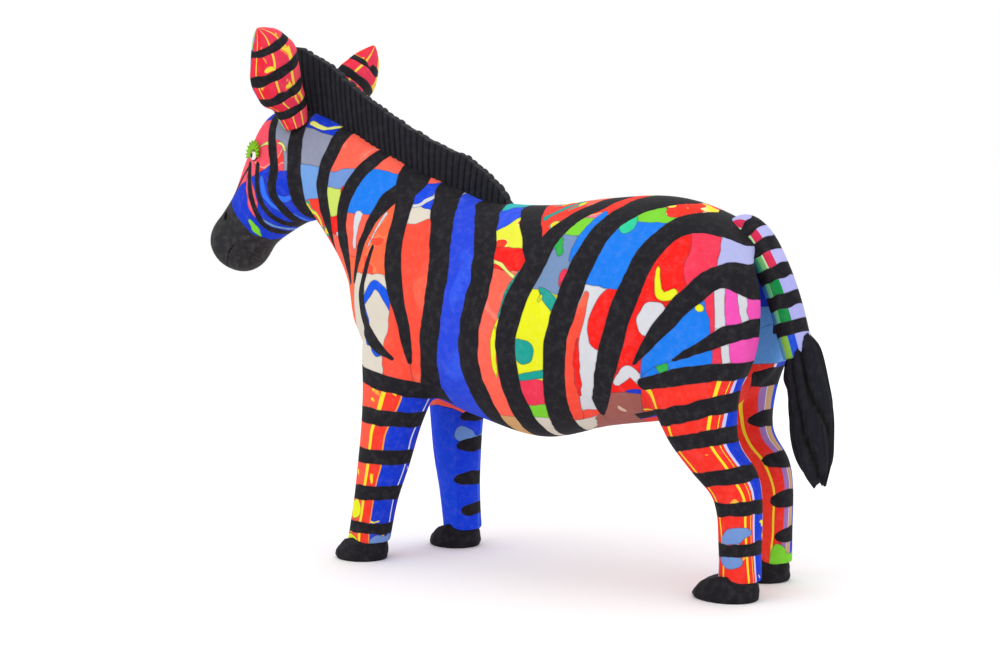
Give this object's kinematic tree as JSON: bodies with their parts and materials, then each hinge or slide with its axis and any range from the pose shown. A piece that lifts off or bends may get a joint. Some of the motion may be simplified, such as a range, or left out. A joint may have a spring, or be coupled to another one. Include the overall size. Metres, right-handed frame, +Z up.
{
  "type": "zebra figure",
  "caption": "Standing striped zebra figure carved from glued foam slabs, with black foam stripes, upright mane, splayed ears, hanging tufted tail and four flat hooves.",
  "frame": {"origin": "under the middle of the whole figure, at the level of the hoof soles", "axes": "+Z up, the head towards -Y, the tail towards +Y, the animal's left side towards +X"},
  "size_m": [0.2146, 0.7535, 0.5774],
  "materials": {
    "black_foam": "matte foam rubber, finely worn",
    "core_foam": "plain foam, hidden",
    "coral_foam": "matte sanded foam with lighter streaks",
    "grey_foam": "matte sanded foam",
    "pale_blue_foam": "matte sanded foam",
    "sky_blue_foam": "matte sanded foam",
    "royal_blue_foam": "matte sanded foam",
    "yellow_foam": "matte marbled foam",
    "orange_foam": "matte marbled foam",
    "red_foam": "matte marbled foam",
    "pink_foam": "matte sanded foam",
    "crimson_foam": "matte laminated foam",
    "lilac_foam": "matte laminated foam",
    "tuft_foam": "grooved black foam",
    "eye_white": "smooth off-white",
    "eye_dark": "smooth dark",
    "lash_green": "matte toothed foam"
  },
  "bodies": {
    "root": {"band_barrel_front": "coral_foam", "band_barrel_mid": "yellow_foam", "band_barrel_rear": "sky_blue_foam", "band_breast": "coral_foam", "band_cheek": "grey_foam", "band_face": "coral_foam", "band_flank": "red_foam", "band_neck_front": "coral_foam", "band_neck_rear": "sky_blue_foam", "band_poll": "pale_blue_foam", "band_rump_lower": "crimson_foam", "band_rump_upper": "pink_foam", "band_saddle": "orange_foam", "band_shoulder": "royal_blue_foam", "band_shoulder_front": "red_foam", "band_thigh": "red_foam", "ear_left": "crimson_foam", "ear_right": "crimson_foam", "eye_pupil_left": "eye_dark", "eye_pupil_right": "eye_dark", "eye_white_left": "eye_white", "eye_white_right": "eye_white", "foam_core": "core_foam", "hoof_front_left": "black_foam", "hoof_front_right": "black_foam", "hoof_hind_left": "black_foam", "hoof_hind_right": "black_foam", "lash_left": "lash_green", "lash_right": "lash_green", "leg_front_left": "red_foam", "leg_front_right": "royal_blue_foam", "leg_hind_left": "red_foam", "leg_hind_right": "red_foam", "mane": "black_foam", "muzzle": "black_foam", "stripe_barrel_1": "black_foam", "stripe_barrel_2": "black_foam", "stripe_barrel_3": "black_foam", "stripe_barrel_fork": "black_foam", "stripe_breast_left": "black_foam", "stripe_breast_right": "black_foam", "stripe_cheek": "black_foam", "stripe_face_front": "black_foam", "stripe_face_rear": "black_foam", "stripe_jaw": "black_foam", "stripe_neck_1": "black_foam", "stripe_neck_2": "black_foam", "stripe_neck_3": "black_foam", "stripe_neck_fork_left": "black_foam", "stripe_neck_fork_right": "black_foam", "stripe_rump_1": "black_foam", "stripe_rump_2": "black_foam", "stripe_shoulder_1": "black_foam", "stripe_shoulder_2": "black_foam", "stripe_thigh": "black_foam", "tail": "lilac_foam", "tail_tuft": "tuft_foam"}
  },
  "joints": []
}
